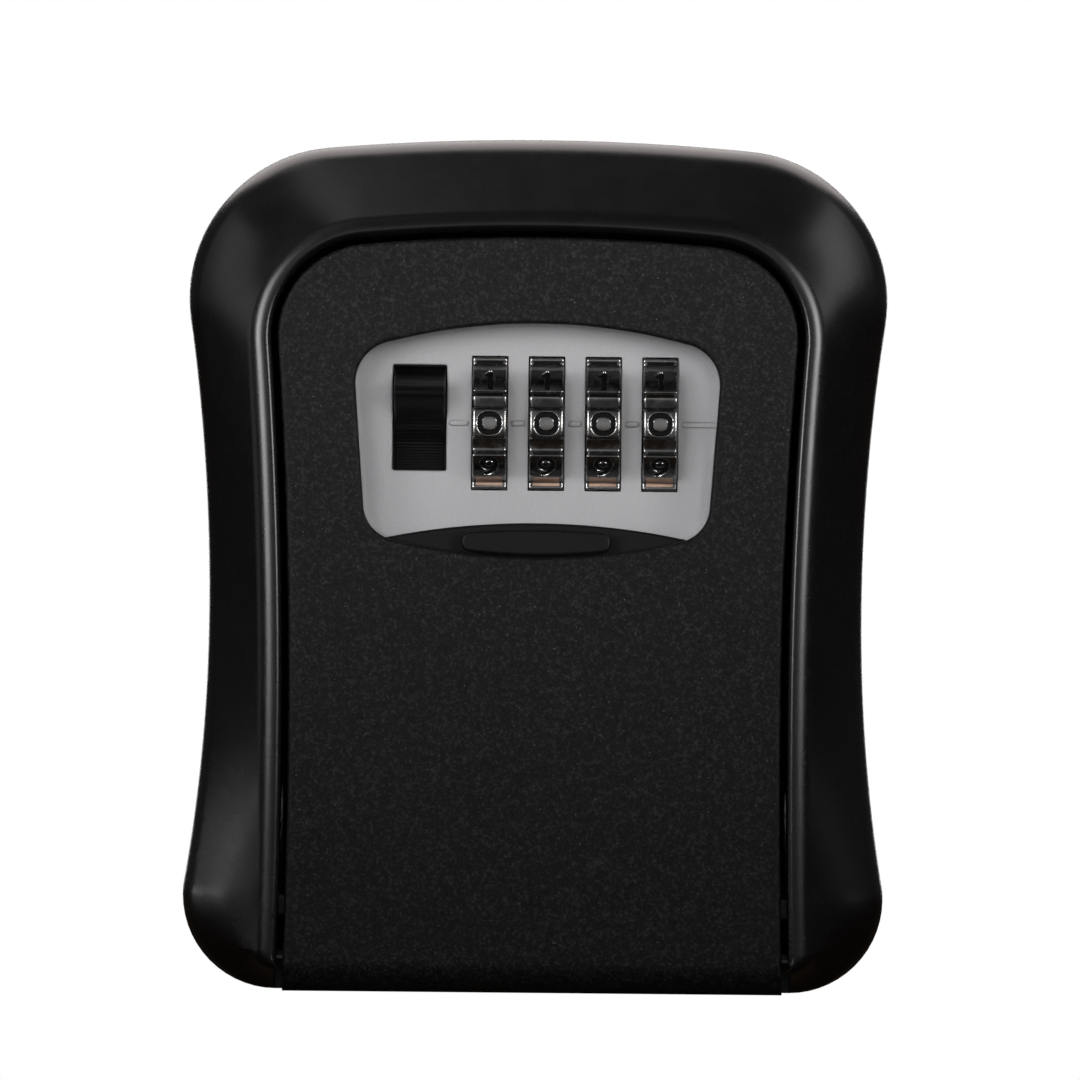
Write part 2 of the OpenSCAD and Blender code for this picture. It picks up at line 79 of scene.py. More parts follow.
def to_row(points):
    points = np.asarray(points, float)
    return np.column_stack([points[:, 0], -points[:, 1], points[:, 2] - HEIGHT / 2]) / 1000.0


# ---------------------------------------------------------------- outlines, as (x, z) points

# waist is the half width at the height waist_z, the narrowest place.
# low_r and up_r are the flanks below and above it.
OUTER = dict(height=HEIGHT, waist=44.15, waist_z=51.2, low_r=226, up_r=268, corner_r=20.5, top_r=316)
DOOR = dict(height=101.6, waist=33.05, waist_z=38, low_r=1360, up_r=650, corner_r=12.5, top_r=250)
# segments of the foot, its rounding, lower flank, upper flank, corner and top
COARSE = (14, 3, 26, 30, 26, 26)
FINE = (60, 12, 160, 200, 120, 120)


def arc(centre, rx, rz, start, end, n=18, first=0):
    """Points of an elliptical arc in n steps, from point number first on."""
    angles = [start + (end - start) * i / n for i in range(first, n + 1)]
    return [(centre[0] + rx * cos(a), centre[1] + rz * sin(a)) for a in angles]


def heading(centre, point):
    return math.degrees(math.atan2(point[1] - centre[1], point[0] - centre[0]))


def meet(c0, r0, c1, r1):
    """The upper crossing of two circles, the second lying to the right of the first."""
    c0, c1 = np.array(c0, float), np.array(c1, float)
    apart = np.linalg.norm(c1 - c0)
    along = (c1 - c0) / apart
    a = (r0 * r0 - r1 * r1 + apart * apart) / (2 * apart)
    return c0 + a * along + math.sqrt(r0 * r0 - a * a) * np.array([-along[1], along[0]])


def waisted(height, waist, waist_z, low_r, up_r, corner_r, top_r, foot_r, foot_z, inset,
            foot_inset, counts):
    """The right half of a waisted outline, from the foot up to the middle of the top."""
    low, up, top = (waist + low_r, waist_z), (waist + up_r, waist_z), (0, height - top_r)
    reach = math.sqrt((low_r + foot_r) ** 2 - (waist_z - foot_z - foot_r) ** 2)
    foot = (waist + low_r - reach, foot_z + foot_r)
    corner = meet(top, top_r - corner_r, up, up_r + corner_r)
    a_low, a_up, a_top = heading(foot, low), heading(up, corner), heading(top, corner)
    r_foot, r_low, r_up = foot_r - inset, low_r + inset, up_r + inset
    r_corner, r_top = corner_r - inset, top_r - inset
    return (
        arc(foot, r_foot, foot_r - foot_inset, -90, 0, counts[0])
        + arc(foot, r_foot, r_foot, 0, a_low, counts[1], 1)
        + arc(low, r_low, r_low, 180 + a_low, 180, counts[2], 1)
        + arc(up, r_up, r_up, 180, a_up, counts[3], 1)
        + arc(corner, r_corner, r_corner, a_up - 180, a_top, counts[4], 1)
        + arc(top, r_top, r_top, a_top, 90, counts[5], 1)
    )


def mirror_x(half):
    return np.array(list(half) + [(-p[0], p[1]) for p in half[-2::-1]])


def outer(inset, foot_inset):
    return mirror_x(waisted(**OUTER, foot_r=12.6, foot_z=0, inset=inset, foot_inset=foot_inset,
                            counts=COARSE))


def door_half(grow, foot_z, foot_r=0.4, counts=COARSE):
    return waisted(**DOOR, foot_r=foot_r, foot_z=foot_z, inset=-grow, foot_inset=0, counts=counts)


def door_line(grow, foot_z):
    return mirror_x(door_half(grow, foot_z))


def blur(values, passes):
    """Smooths a row of values in place, keeping its ends."""
    for _ in range(passes):
        values[1:-1] = (values[:-2] + 2 * values[1:-1] + values[2:]) / 4
    return values


def door_across_from(shoulder, reach):
    """A function giving door outlines whose points lie straight across the bezel from shoulder's."""
    line = np.array(door_half(reach, 2.2, 3.4, FINE))
    start, step = line[:-1], line[1:] - line[:-1]
    place = np.zeros((len(shoulder) + 1) // 2)
    for i in range(len(place)):
        t = np.clip(((shoulder[i] - start) * step).sum(1) / (step * step).sum(1), 0, 1)
        k = int(np.argmin(((start + step * t[:, None] - shoulder[i]) ** 2).sum(1)))
        place[i] = k + t[k]
    place[0], place[-1] = 0, len(line) - 1
    place = blur(np.maximum.accumulate(place), 8)
    before = np.minimum(place.astype(int), len(line) - 2)
    share = (place - before)[:, None]

    def outline(grow, foot_z, foot_r):
        p = np.array(door_half(grow, foot_z, foot_r, FINE))
        return mirror_x([tuple(v) for v in p[before] * (1 - share) + p[before + 1] * share])

    return outline


# The window's sides lean outwards going up: half width 24.5 at z = 82, plus LEAN for each mm.
LEAN = 0.075
WINDOW_TOP_R, WINDOW_LOW_R = 78, 84
WINDOW_TOP = (0, 90.0 - WINDOW_TOP_R)
WINDOW_LOW = (0, 58.6 + WINDOW_LOW_R)
UPPER_R, LOWER_R = 5.6, 5  # the window's corners


def line_corner(centre, edge_r, r, sign):
    """Centre of a corner of radius r between a leaning side and the edge arc about centre."""
    b = 24.5 - 82 * LEAN - r * math.sqrt(1 + LEAN * LEAN)
    qa, qb = 1 + LEAN * LEAN, 2 * (LEAN * b - centre[1])
    qc = b * b + centre[1] * centre[1] - (edge_r - r) ** 2
    z = (-qb + sign * math.sqrt(qb * qb - 4 * qa * qc)) / (2 * qa)
    return (b + LEAN * z, z)


def window(grow, n=22):
    upper = line_corner(WINDOW_TOP, WINDOW_TOP_R, UPPER_R, 1)
    lower = line_corner(WINDOW_LOW, WINDOW_LOW_R, LOWER_R, -1)
    side = -math.degrees(math.atan(LEAN))
    a_up, a_low = heading(WINDOW_TOP, upper), heading(WINDOW_LOW, lower)

    def part(centre, r, start, end, first):
        return arc(centre, r + grow, r + grow, start, end, n, first)

    half = (
        part(WINDOW_LOW, WINDOW_LOW_R, -90, a_low, 0)
        + part(lower, LOWER_R, a_low, side, 1)
        + part(upper, UPPER_R, side, a_up, 0)
        + part(WINDOW_TOP, WINDOW_TOP_R, a_up, 90, 1)
    )
    return np.array(half + [(-p[0], p[1]) for p in half[-2:0:-1]])


# ---------------------------------------------------------------- meshes


@contextlib.contextmanager
def editing(mesh):
    bm = bmesh.new()
    bm.from_mesh(mesh)
    yield bm
    bm.to_mesh(mesh)
    bm.free()


def shade(mesh, angle):
    mesh.polygons.foreach_set("use_smooth", [True] * len(mesh.polygons))
    mesh.set_sharp_from_angle(angle=math.radians(angle))


def link_new(name, data):
    ob = bpy.data.objects.new(name, data)
    bpy.context.scene.collection.objects.link(ob)
    return ob


def make(name, verts, faces, smooth=30):
    """A mesh object from points in (x, f, z) millimetres."""
    mesh = bpy.data.meshes.new(name)
    mesh.from_pydata([tuple(v) for v in to_row(verts)], [], [tuple(f) for f in faces])
    with editing(mesh) as bm:
        bmesh.ops.recalc_face_normals(bm, faces=bm.faces)
    shade(mesh, smooth)
    return link_new(name, mesh)


def loft(levels, name):
    """A closed solid through rings of as many 3D points each."""
    n = len(levels[0])
    faces = []
    for k in range(len(levels) - 1):
        a, b = k * n, (k + 1) * n
        faces += [(a + i, a + (i + 1) % n, b + (i + 1) % n, b + i) for i in range(n)]
    faces += [tuple(range(n)), tuple((len(levels) - 1) * n + i for i in range(n))]
    return make(name, np.vstack(levels), faces)


def rings(levels, name="tool"):
    """A solid through (outline, depth) levels. A depth is one number or one for each point."""
    return loft(
        [np.column_stack([p[:, 0], np.broadcast_to(np.asarray(f, float), (len(p),)), p[:, 1]])
         for p, f in levels],
        name,
    )


def prism(outline, f0, f1):
    outline = np.asarray(outline, float)
    return rings([(outline, f0), (outline, f1)])


def bar(profile, x0, x1):
    """A profile of (f, z) points drawn along x."""
    p = np.asarray(profile, float)
    return loft([np.column_stack([np.full(len(p), x), p]) for x in (x0, x1)], "tool")


def rolled(outline, r, face, angles):
    """Levels that round an edge of radius r up to depth face. outline takes an inset."""
    return [(outline(r * (1 - cos(a))), face - r + r * sin(a)) for a in angles]


def box(x0, x1, f0, f1, z0, z1, r=0.0):
    verts = [(x, f, z) for x in (x0, x1) for f in (f0, f1) for z in (z0, z1)]
    faces = [(0, 1, 3, 2), (4, 6, 7, 5), (0, 4, 5, 1), (2, 3, 7, 6), (0, 2, 6, 4), (1, 5, 7, 3)]
    ob = make("tool", verts, faces, 35)
    if r:
        with editing(ob.data) as bm:
            bmesh.ops.bevel(bm, geom=list(bm.edges), offset=r / 1000, segments=2, profile=0.5,
                            affect="EDGES")
        shade(ob.data, 35)
    return ob


def lathe(profile, centre, axis="f", seg=64):
    """Points (radius, height) turned about a line through centre along f or x.

    The profile starts and ends on the line.
    """
    verts, faces, rows = [], [], []
    for r, h in profile:
        row = []
        for i in range(seg if r else 1):
            a = 360 * i / seg
            p = (r * cos(a), h, r * sin(a)) if axis == "f" else (h, r * cos(a), r * sin(a))
            row.append(len(verts))
            verts.append((centre[0] + p[0], centre[1] + p[1], centre[2] + p[2]))
        rows.append(row)
    for a, b in zip(rows, rows[1:]):
        for i in range(seg):
            j = (i + 1) % seg
            if len(a) == 1:
                faces.append((a[0], b[j], b[i]))
            elif len(b) == 1:
                faces.append((a[i], a[j], b[0]))
            else:
                faces.append((a[i], a[j], b[j], b[i]))
    return make("tool", verts, faces, 35)


def rod(r, h0, h1, centre, axis="f", seg=48):
    return lathe([(0, h0), (r, h0), (r, h1), (0, h1)], centre, axis, seg)


def boolean(ob, tools, operation, smooth=30):
    """Joins, cuts or keeps the overlap of ob with each of the tools, which are used up."""
    for tool in tools:
        m = ob.modifiers.new("b", "BOOLEAN")
        m.operation, m.solver, m.object = operation, "EXACT", tool
        graph = bpy.context.evaluated_depsgraph_get()
        graph.update()
        mesh = bpy.data.meshes.new_from_object(ob.evaluated_get(graph))
        ob.modifiers.clear()
        old = ob.data
        ob.data = mesh
        bpy.data.meshes.remove(old)
    for tool in tools:
        bpy.data.objects.remove(tool, do_unlink=True)
    with editing(ob.data) as bm:
        bmesh.ops.remove_doubles(bm, verts=bm.verts, dist=2e-6)
        bmesh.ops.dissolve_degenerate(bm, edges=bm.edges, dist=1e-6)
        loose = [v for v in bm.verts if not v.link_faces]
        bmesh.ops.delete(bm, geom=loose, context="VERTS")
    shade(ob.data, smooth)
    return ob


def cut(ob, *tools):
    return boolean(ob, tools, "DIFFERENCE")


def add(ob, *tools, smooth=30):
    return boolean(ob, tools, "UNION", smooth)


# ---------------------------------------------------------------- materials


def rgba(value):
    """A colour socket's value from a grey level or an (r, g, b) colour."""
    return (*value, 1) if isinstance(value, tuple) else (value, value, value, 1)


class Shader:
    """Short names for building a material's node tree. Inputs are numbers, colours or sockets."""

    def __init__(self, name):
        self.material = bpy.data.materials.new(name)
        self.material.use_nodes = True
        self.tree = self.material.node_tree
        self.place = self.new("ShaderNodeTexCoord").outputs["Object"]

    def new(self, kind, **settings):
        node = self.tree.nodes.new(kind)
        for key, value in settings.items():
            setattr(node, key, value)
        return node

    def put(self, socket, value):
        if isinstance(value, bpy.types.NodeSocket):
            self.tree.links.new(value, socket)
        else:
            socket.default_value = rgba(value) if socket.type == "RGBA" else value

    def surface(self, **inputs):
        for key, value in inputs.items():
            self.put(self.tree.nodes["Principled BSDF"].inputs[key.replace("_", " ")], value)
        return self.material

    def noise(self, scale, detail=3.0, rough=0.5, stretch=None):
        node = self.new("ShaderNodeTexNoise")
        node.inputs["Scale"].default_value = scale
        node.inputs["Detail"].default_value = detail
        node.inputs["Roughness"].default_value = rough
        place = self.place
        if stretch:
            mapping = self.new("ShaderNodeMapping")
            mapping.inputs["Scale"].default_value = stretch
            self.put(mapping.inputs["Vector"], place)
            place = mapping.outputs["Vector"]
        self.put(node.inputs["Vector"], place)
        return node.outputs["Fac"]

    def cells(self, scale):
        """Distance to the nearest of the randomly placed points."""
        node = self.new("ShaderNodeTexVoronoi")
        node.inputs["Scale"].default_value = scale
        self.put(node.inputs["Vector"], self.place)
        return node.outputs["Distance"]

    def ramp(self, factor, *stops):
        """A colour ramp through (position, grey or colour) stops."""
        node = self.new("ShaderNodeValToRGB")
        elements = node.color_ramp.elements
        while len(elements) < len(stops):
            elements.new(0.5)
        for element, (position, value) in zip(elements, stops):
            element.position = position
            element.color = rgba(value)
        self.put(node.inputs["Fac"], factor)
        return node.outputs["Color"]

    def spread(self, noise, low, high):
        """A noise's middle range turned into greys from low to high."""
        return self.ramp(noise, (0.3, low), (0.7, high))

    def math(self, operation, a, b):
        node = self.new("ShaderNodeMath", operation=operation)
        self.put(node.inputs[0], a)
        self.put(node.inputs[1], b)
        return node.outputs[0]

    def mix(self, factor, a, b):
        node = self.new("ShaderNodeMix", data_type="RGBA", blend_type="MIX")
        self.put(node.inputs["Factor"], factor)
        self.put(node.inputs[6], a)
        self.put(node.inputs[7], b)
        return node.outputs[2]

    def bump(self, height, strength, distance):
        node = self.new("ShaderNodeBump")
        node.inputs["Strength"].default_value = strength
        node.inputs["Distance"].default_value = distance
        self.put(node.inputs["Height"], height)
        return node.outputs["Normal"]

    def edges(self, end):
        """Where the surface is a sharp convex edge, 0 to 1, full at a pointiness of end."""
        pointiness = self.new("ShaderNodeNewGeometry").outputs["Pointiness"]
        return self.ramp(pointiness, (0.52, 0.0), (end, 1.0))


def gloss_black():
    s = Shader("black_enamel")
    colour = s.mix(s.noise(scale=60, detail=2), (0.0016, 0.0016, 0.0018), (0.0028, 0.0028, 0.003))
    flecks = s.ramp(s.noise(scale=1500, detail=2, rough=0.6), (0.74, 0.0), (0.80, 1.0))
    peel = s.noise(scale=420, detail=3, rough=0.5)
    return s.surface(
        Base_Color=s.mix(s.math("MULTIPLY", flecks, 0.25), colour, (0.08, 0.08, 0.085)),
        Roughness=s.spread(s.noise(scale=220, detail=4, rough=0.6), low=0.25, high=0.29),
        Normal=s.bump(peel, strength=0.07, distance=0.00012),
        IOR=1.5,
        Specular_IOR_Level=0.5,
    )


def powder_coat():
    s = Shader("textured_powder_coat")
    fine = s.noise(scale=2600, detail=3, rough=0.62)
    middle = s.noise(scale=1250, detail=3, rough=0.6)
    # share of each in the grain
    grain = s.math("ADD", s.math("MULTIPLY", fine, 0.66), s.math("MULTIPLY", middle, 0.34))
    colour = s.ramp(grain, (0.38, (0.0015, 0.0015, 0.0018)), (0.51, (0.006, 0.006, 0.0064)),
                    (0.64, (0.026, 0.026, 0.027)))
    # a few of the cells are sparks, some warm and some cool
    spark = s.ramp(s.cells(scale=1900), (0.0, 1.0), (0.2, 0.0))
    pick = s.ramp(s.noise(scale=1100, detail=1, rough=0.4), (0.655, 0.0), (0.71, 1.0))
    glint = s.mix(s.noise(scale=700, detail=1), (0.26, 0.22, 0.16), (0.20, 0.22, 0.26))
    return s.surface(
        Base_Color=s.mix(s.math("MULTIPLY", spark, pick), colour, glint),
        Roughness=s.spread(fine, low=0.46, high=0.62),
        Normal=s.bump(grain, strength=0.55, distance=0.00022),
        Specular_IOR_Level=0.18,
    )


def satin_grey():
    s = Shader("satin_grey_panel")
    colour = s.mix(s.noise(scale=45, detail=2), (0.46, 0.46, 0.47), (0.50, 0.50, 0.51))
    grain = s.noise(scale=3200, detail=2, rough=0.5)
    grain_share = 0.12
    return s.surface(
        Base_Color=s.mix(grain_share, colour, s.spread(grain, low=0.32, high=0.62)),
        Roughness=s.spread(grain, low=0.38, high=0.46),
        Normal=s.bump(grain, strength=0.12, distance=0.0001),
    )


def plastic(name, low, high, rough, bump, grain, specular=0.5):
    """A colour wandering from low to high, with a fine grain. rough is its (low, high)."""
    s = Shader(name)
    fine = s.noise(scale=grain, detail=3, rough=0.55)
    return s.surface(
        Base_Color=s.mix(s.noise(scale=90, detail=2), low, high),
        Roughness=s.spread(fine, *rough),
        Normal=s.bump(fine, strength=bump, distance=0.00015),
        Specular_IOR_Level=specular,
    )


def metal(name, low, high, rough, stretch=(1, 1, 1), scale=900, bump=0.06, blots=120,
          worn=None, wear=0.3, wear_end=0.62):
    """Blots of colour from low to high, streaks in the gloss, and edges worn to a lighter tone."""
    s = Shader(name)
    streak = s.noise(scale=scale, detail=4, rough=0.6, stretch=stretch)
    colour = s.mix(s.noise(scale=blots, detail=3, rough=0.6), low, high)
    worn = worn or tuple(min(1, c * 1.35) for c in high)
    return s.surface(
        Base_Color=s.mix(s.math("MULTIPLY", s.edges(wear_end), wear), colour, worn),
        Roughness=s.spread(streak, *rough),
        Normal=s.bump(streak, strength=bump, distance=0.0001),
        Metallic=1.0,
    )


MATERIALS = {
    "housing": gloss_black(),
    "door": powder_coat(),
    "panel": satin_grey(),
    "dial": metal("dark_chrome", (0.19, 0.187, 0.183), (0.36, 0.355, 0.35), rough=(0.15, 0.31),
                  stretch=None, scale=700, bump=0.10, blots=140, worn=(0.62, 0.61, 0.59),
                  wear=0.6, wear_end=0.60),
    "paint": plastic("number_paint", 0.002, 0.004, rough=(0.5, 0.62), bump=0.12, grain=2400,
                     specular=0.12),
    # painted reflection: a copper tone that stands in for a warm surface below, mirrored in the
    # wheels' down-facing groove
    "copper": metal("painted_warm_reflection", (0.62, 0.43, 0.33), (0.84, 0.60, 0.46), rough=(0.30, 0.44),
                    scale=600, bump=0.12),
    "pin": metal("blackened_steel", (0.05, 0.05, 0.052), (0.09, 0.09, 0.092),
                 rough=(0.22, 0.34), scale=500, bump=0.08),
    "button": plastic("button_black", (0.0028, 0.0028, 0.0030), (0.0042, 0.0042, 0.0045),
                      rough=(0.30, 0.40), bump=0.05, grain=2600, specular=0.26),
    "shutter": plastic("shutter_black", (0.0035, 0.0035, 0.0038), (0.0055, 0.0055, 0.006),
                       rough=(0.40, 0.52), bump=0.10, grain=2600, specular=0.2),
    "case": plastic("case_black", 0.012, 0.02, rough=(0.45, 0.6), bump=0.25, grain=1500),
    "liner": plastic("liner_black", (0.014, 0.014, 0.015), (0.022, 0.022, 0.023),
                     rough=(0.5, 0.62), bump=0.3, grain=1700),
    "lever": plastic("lever_red", (0.34, 0.012, 0.008), (0.46, 0.02, 0.014), rough=(0.3, 0.42),
                     bump=0.1, grain=1400),
    "steel": metal("zinc_plated_steel", (0.42, 0.42, 0.43), (0.56, 0.56, 0.56),
                   rough=(0.28, 0.46), stretch=(30, 1, 30), scale=90, bump=0.12),
    "spring": metal("spring_wire", (0.38, 0.38, 0.40), (0.55, 0.55, 0.56), rough=(0.2, 0.32)),
    "screw": metal("screw_zinc", (0.36, 0.35, 0.33), (0.5, 0.5, 0.48), rough=(0.25, 0.42),
                   scale=600, bump=0.1),
    "cam": metal("turned_steel", (0.20, 0.20, 0.20), (0.34, 0.34, 0.33), rough=(0.24, 0.4),
                 stretch=(60, 1, 1), scale=60, bump=0.08),
}

# ---------------------------------------------------------------- housing


def slide(a, b, distance, span):
    """Points on the way from a to b, which lie span apart, by one distance or one for each."""
    return a + (b - a) * np.reshape(distance, (-1, 1)) / span


def bend(a, corner, b, t):
    return a * (1 - t) ** 2 + corner * 2 * t * (1 - t) + b * t * t


def bezel_levels():
    """From the wall up the outer side, over shoulder, slope and crest, and down beside the door."""
    shoulder_r, crest_r, side_f, top_f = 7.0, 3.3, 27.6, 40.0
    crest_out = 1.7  # from the door to the crest
    lip_r = crest_out - GAP
    base_r, back_r, back_f = 0.5, 1.0, 4.0
    span = 5  # between the two door outlines that give the direction across the bezel
    out0, out1 = outer(0, 0), outer(shoulder_r, 1.1)
    door_at = door_across_from(out1, crest_out)
    in0, in1 = door_at(0, 2.2, 3.4), door_at(span, 2.2, 3.4)
    wall0, wall1 = door_at(0, 2.5, 0.5), door_at(span, 2.5, 0.5)

    # angle at which the shoulder arc hands over to the slope and the slope to the crest arc
    run = np.linalg.norm(out1 - slide(in0, in1, crest_out, span), axis=1)
    rise = top_f - crest_r - side_f
    lean = np.arctan2(run, rise) + np.arcsin((shoulder_r - crest_r) / np.hypot(run, rise))
    lean = np.degrees(lean)
    lean = blur(lean[: len(lean) // 2 + 1].copy(), 6)
    lean = np.concatenate([lean, lean[-2::-1]])
    # flatter inside and steeper outside where the bezel is wide at its sides
    sideways = np.abs((out0 - out1)[:, 0]) / np.linalg.norm(out0 - out1, axis=1)
    swell = np.clip((run - 2.2) / 3.5, 0, 1) * np.clip((sideways - 0.3) / 0.5, 0, 1)
    swell = blur(swell, 5)
    lean_out, lean_in = lean - 0.5 - 9.0 * swell, lean + 0.5 + 9.0 * swell

    levels = []
    for a in (0, 22.5, 45, 67.5, 90):
        inset = base_r * (1 - sin(a))
        levels.append((outer(inset, inset), base_r * (1 - cos(a))))
    levels += [(out0, f) for f in (6, 12, 18, 24, side_f)]
    for t in np.linspace(0, 1, 17)[1:]:
        a = np.radians(lean_out * t)
        levels.append((slide(out0, out1, shoulder_r * (1 - np.cos(a)), shoulder_r),
                       side_f + shoulder_r * np.sin(a)))

    # the slope: a flat arc whose ends are tangent to both, drawn through the corner of its tangents
    def crest(angle):
        a = np.radians(angle)
        return (slide(in0, in1, crest_out + crest_r * np.cos(a), span),
                top_f - crest_r + crest_r * np.sin(a))

    low, low_f = levels[-1]
    high, high_f = crest(lean_in)
    a, b = np.radians(lean_out), np.radians(lean_in)
    run, up = np.linalg.norm(high - low, axis=1), high_f - low_f
    tangent = (run * np.cos(b) - up * np.sin(b)) / np.minimum(np.sin(a - b), -1e-3)
    share = np.clip(tangent * np.sin(a) / np.maximum(run, 1e-6), 0.2, 0.8)
    corner = slide(low, high, share, 1)
    corner_f = low_f + share * run / np.maximum(np.sin(a), 1e-3) * np.cos(a)
    for t in np.linspace(0, 1, 13)[1:]:
        levels.append((bend(low, corner, high, t), bend(low_f, corner_f, high_f, t)))

    levels += [crest(lean_in + (90 - lean_in) * t) for t in np.linspace(0, 1, 15)[1:]]
    for a in np.linspace(90, 180, 13)[1:]:
        share = (a - 90) / 90
        away = crest_out + lip_r * cos(a)
        p = slide(in0, in1, away, span) * (1 - share) + slide(wall0, wall1, away, span) * share
        levels.append((p, top_f - lip_r + lip_r * sin(a)))
    wall = slide(wall0, wall1, GAP, span)
    levels += [(wall, f) for f in (top_f - lip_r - 0.8, 34, 28, 20, 12, back_f)]
    for a in (30, 60, 90):
        inset = back_r * (1 - cos(a))
        levels.append((door_at(GAP - inset, 2.5 + inset, 0.5), back_f - back_r * sin(a)))
    return levels


def foot_half_width(z):
    """Half width of the opening near the foot, following the door's lower flank."""
    return 34.2 + (z - DOOR["waist_z"]) ** 2 / (2 * DOOR["low_r"]) + 0.02


def housing():
    ob = rings(bezel_levels(), "housing_shell")
    # the door's way through the base of the bezel
    right = [(foot_half_width(w), z) for w, z in ((-3, -3), (0, -0.5), (3.05, 3.05))]
    left = [(-x, z) for x, z in reversed(right)]
    ob = cut(
        ob,
        prism(right + left, HINGE_F - BARREL - 0.3, 45),
        *[box(s * HEEL_X - 3.2, s * HEEL_X + 3.2, HINGE_F - 9.7, HINGE_F + 2, -1, 3.6)
          for s in (-1, 1)],
    )
    # relief behind the bezel, with ribs left across it
    relief = prism(outer(2.6, 2.6), -1, 25)
    relief = cut(relief, prism(door_line(GAP + 2.2, -2), -2, 30), box(-60, 60, -3, 40, -5, 11.5))
    for z in (34, 58, 82):
        relief = cut(relief, box(-60, 60, -3, 60, z - 1, z + 1))
    for x in (-18, 18):
        relief = cut(relief, box(x - 1, x + 1, -3, 60, 99, 125))
    ob = cut(ob, relief)
    # keeper lip, as (f, z), and door stops
    lip = [(24.6, 98.8), (24.3, 104.2), (24.6, 104.2), (28.1, 100.7), (28.2, 100.5),
           (28.2, 99.1), (27.9, 98.8)]
    ob = add(
        ob,
        bar(lip, -14, 14),
        *[box(*sorted((s * 27, s * 35.4)), HINGE_F - 3, HINGE_F, 10, 13, 0.3) for s in (-1, 1)],
    )
    # screw holes, countersunk inside, as (radius, f)
    screw_hole = [(0, -1), (2.9, -1), (2.9, 0), (2.5, 0.4), (2.5, 1.4), (4.3, 3.0), (4.3, 5), (0, 5)]
    for x in (-22, 22):
        for z in (24.5, 90.5):
            ob = cut(ob, lathe(screw_hole, (x, 0, z)))
    # hinge-pin seats
    return cut(ob, rod(1.5, -38, 38, HINGE, "x"))


# ---------------------------------------------------------------- door


def door():
    r, foot_z = 0.55, -6
    blank = door_line(0, foot_z)
    levels = [(blank, 28.0), (blank, DOOR_FACE - r)]
    levels += rolled(lambda inset: door_line(-inset, foot_z), r, DOOR_FACE, (15, 30, 45, 60, 75, 90))
    ob = rings(levels, "door_panel")
    # keep what lies inside the section, as (f, z): the plate, running down into the hinge barrel
    section = [(45, 125), (45, 4.53)]
    section += [(HINGE_F + BARREL * cos(a), BARREL + BARREL * sin(a))
                for a in np.linspace(0, -300.74, 97)]
    section += [(PLATE_BACK, 14.5), (31.0, 14.5), (31.0, 125)]
    ob = boolean(ob, [bar(section, -60, 60)], "INTERSECT")
    # hollow behind the plate, leaving a rim
    hollow = [tuple(p) for p in door_line(-1.8, -2) if p[1] > 16]
    x, z = abs(hollow[0][0]), 14.0
    ob = cut(ob, prism([(x, z)] + hollow + [(-x, z)], 20, PLATE_BACK - 0.02))
    # window with a rolled edge
    r = 0.6
    levels = [(window(0), 30), (window(0), DOOR_FACE - r)]
    levels += rolled(window, r, DOOR_FACE, (18, 36, 54, 72, 90))
    ob = cut(ob, rings(levels + [(window(r), 42)]))
    # bosses, rails and stop heels
    root = PLATE_BACK + 0.5
    for s in (-1, 1):
        for z in PANEL_SCREW_Z:
            ob = add(ob, rod(2.2, PANEL_F, root, (s * PANEL_SCREW_X, 0, z)))
        for z in (19, 53):
            ob = add(ob, rod(2.2, 34.2, root, (s * 28.9, 0, z)))
        ob = add(ob, box(s * 27.3 - 0.45, s * 27.3 + 0.45, 34.5, root, 24, 93))
        heel = s * HEEL_X
        ob = add(ob, box(heel - 2.5, heel + 2.5, HINGE_F - 8, HINGE_F - 0.6, 0.1, 1.4, 0.25))
    # hinge bore, wider along its middle, as (radius, x)
    bore = [(0, -40), (1.56, -40), (1.56, -20), (2.3, -20), (2.3, 20), (1.56, 20), (1.56, 40), (0, 40)]
    return cut(ob, lathe(bore, HINGE, "x", 48))


# ---------------------------------------------------------------- panel, shutter, button


def arched(half_width, z0, z1, r):
    """A rectangle with its upper corners rounded."""
    right = arc((half_width - r, z1 - r), r, r, 0, 90, 10)
    left = arc((-half_width + r, z1 - r), r, r, 90, 180, 10)
    return np.array(right + left + [(-half_width, z0), (half_width, z0)])


def slot_cutter(x, width, z0, z1, r=0.25, flare=0.25):
    """Cuts a rounded slot whose edge opens out by flare at the panel's face."""
    half_x, half_z = width / 2 - r, (z1 - z0) / 2 - r

    def ring(grow):
        p = []
        for sx, sz, a in ((1, 1, 0), (-1, 1, 90), (-1, -1, 180), (1, -1, 270)):
            p += arc((sx * half_x, sz * half_z), r + grow, r + grow, a, a + 90, 4)
        return np.array([(x + q[0], (z0 + z1) / 2 + q[1]) for q in p])

    levels = [(ring(0), 20), (ring(0), PANEL_F - flare)]
    levels += rolled(ring, flare, PANEL_F, (30, 60, 90))
    return rings(levels + [(ring(flare), PANEL_F + 3)])


def pill(x0, x1):
    """A low bar with rounded ends and a domed top, standing on the panel at the wheels' axis."""
    r, rise = 0.43, 0.42

    def ring(rad):
        p = arc((x1 - r, AXIS_Z), rad, rad, -90, 90, 12)
        return np.array(p + arc((x0 + r, AXIS_Z), rad, rad, 90, 270, 12))

    levels = [(ring(r), PANEL_F - 0.3)]
    for a in (0, 22, 45, 66, 82):
        levels.append((ring(r - r * 0.55 * (1 - cos(a))), PANEL_F + 0.02 + rise * sin(a)))
    return rings(levels)


